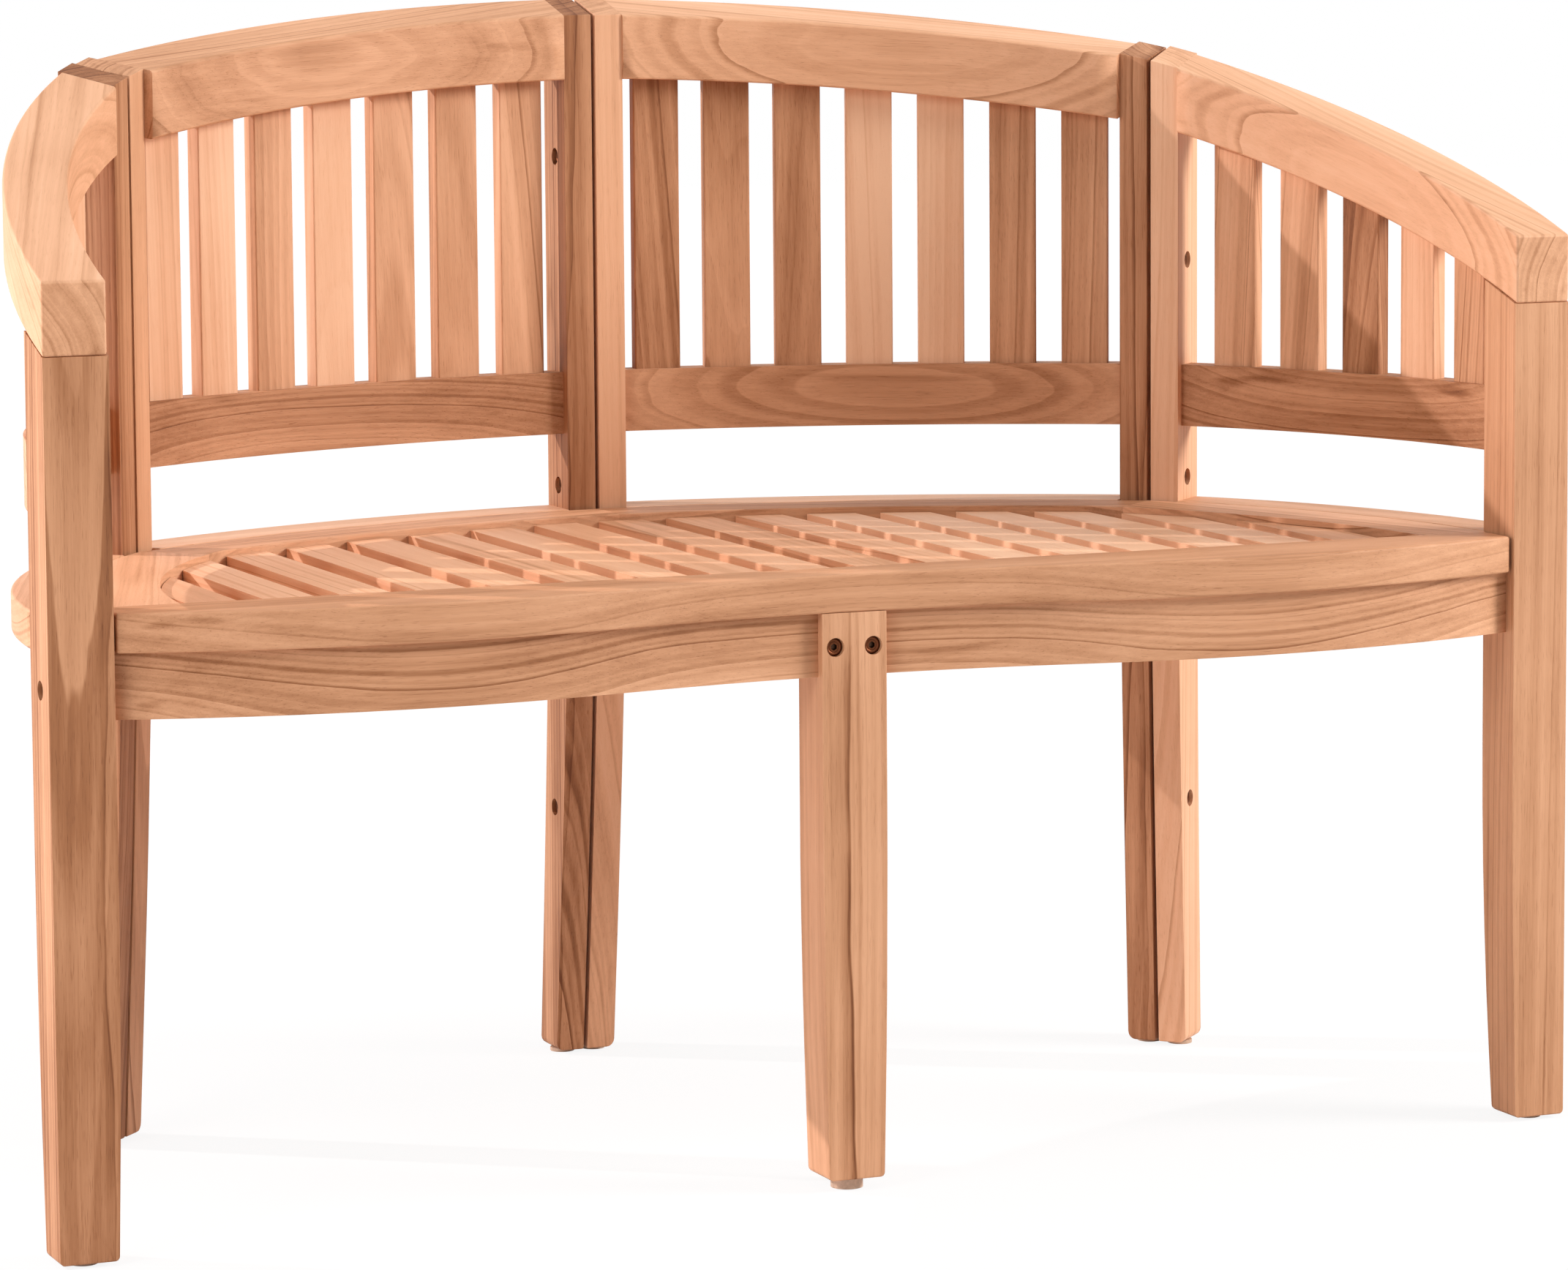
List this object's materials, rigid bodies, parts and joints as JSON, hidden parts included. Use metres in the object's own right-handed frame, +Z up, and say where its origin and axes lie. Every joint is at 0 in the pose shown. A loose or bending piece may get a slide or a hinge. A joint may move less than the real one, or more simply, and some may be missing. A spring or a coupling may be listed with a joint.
{
  "type": "garden bench",
  "caption": "Curved wooden garden bench: a half-moon slatted seat inside a wrap-around slatted back with sloping arms, standing on tapered legs with glides.",
  "frame": {"origin": "middle of the bench's outline, on the floor", "axes": "+X along the length, to the right as seen from the front; +Y to the rear; +Z up"},
  "size_m": [1.2004, 0.6286, 0.868],
  "materials": {
    "teak_frame": "sanded, unoiled",
    "teak_slat": "sanded, unoiled",
    "bolt_steel": "plated, dull",
    "glide_plastic": "moulded"
  },
  "bodies": {
    "root": {"front_left_leg": "teak_frame", "front_right_leg": "teak_frame", "front_centre_leg": "teak_frame", "arm_left_rear_post": "teak_frame", "arm_right_rear_post": "teak_frame", "back_left_outer_post": "teak_frame", "back_right_outer_post": "teak_frame", "back_left_inner_post": "teak_frame", "back_right_inner_post": "teak_frame", "arm_left_top_rail": "teak_frame", "arm_right_top_rail": "teak_frame", "back_left_top_rail": "teak_frame", "back_right_top_rail": "teak_frame", "arm_left_mid_rail": "teak_frame", "arm_right_mid_rail": "teak_frame", "back_left_mid_rail": "teak_frame", "back_right_mid_rail": "teak_frame", "arm_left_seat_rail": "teak_frame", "arm_right_seat_rail": "teak_frame", "back_left_seat_rail": "teak_frame", "back_right_seat_rail": "teak_frame", "arm_left_apron": "teak_frame", "arm_right_apron": "teak_frame", "back_left_apron": "teak_frame", "back_right_apron": "teak_frame", "front_left_apron": "teak_frame", "front_right_apron": "teak_frame", "seat_front_rail": "teak_frame", "seat_left_side_rail": "teak_frame", "seat_right_side_rail": "teak_frame", "seat_left_back_rail": "teak_frame", "seat_right_back_rail": "teak_frame", "arm_left_slats": "teak_slat", "arm_right_slats": "teak_slat", "back_left_slats": "teak_slat", "back_right_slats": "teak_slat", "seat_front_batten": "teak_slat", "seat_rear_batten": "teak_slat", "seat_slat_1": "teak_slat", "seat_slat_2": "teak_slat", "seat_slat_3": "teak_slat", "seat_slat_4": "teak_slat", "seat_slat_5": "teak_slat", "seat_slat_6": "teak_slat", "seat_slat_7": "teak_slat", "seat_slat_8": "teak_slat", "seat_slat_9": "teak_slat", "seat_slat_10": "teak_slat", "seat_slat_11": "teak_slat", "seat_slat_12": "teak_slat", "seat_slat_13": "teak_slat", "seat_slat_14": "teak_slat", "seat_slat_15": "teak_slat", "seat_slat_16": "teak_slat", "seat_slat_17": "teak_slat", "seat_rest_blocks": "teak_slat", "bolts": "bolt_steel", "sleeve_nuts": "bolt_steel", "cross_dowels": "bolt_steel", "glides": "glide_plastic"}
  },
  "joints": []
}
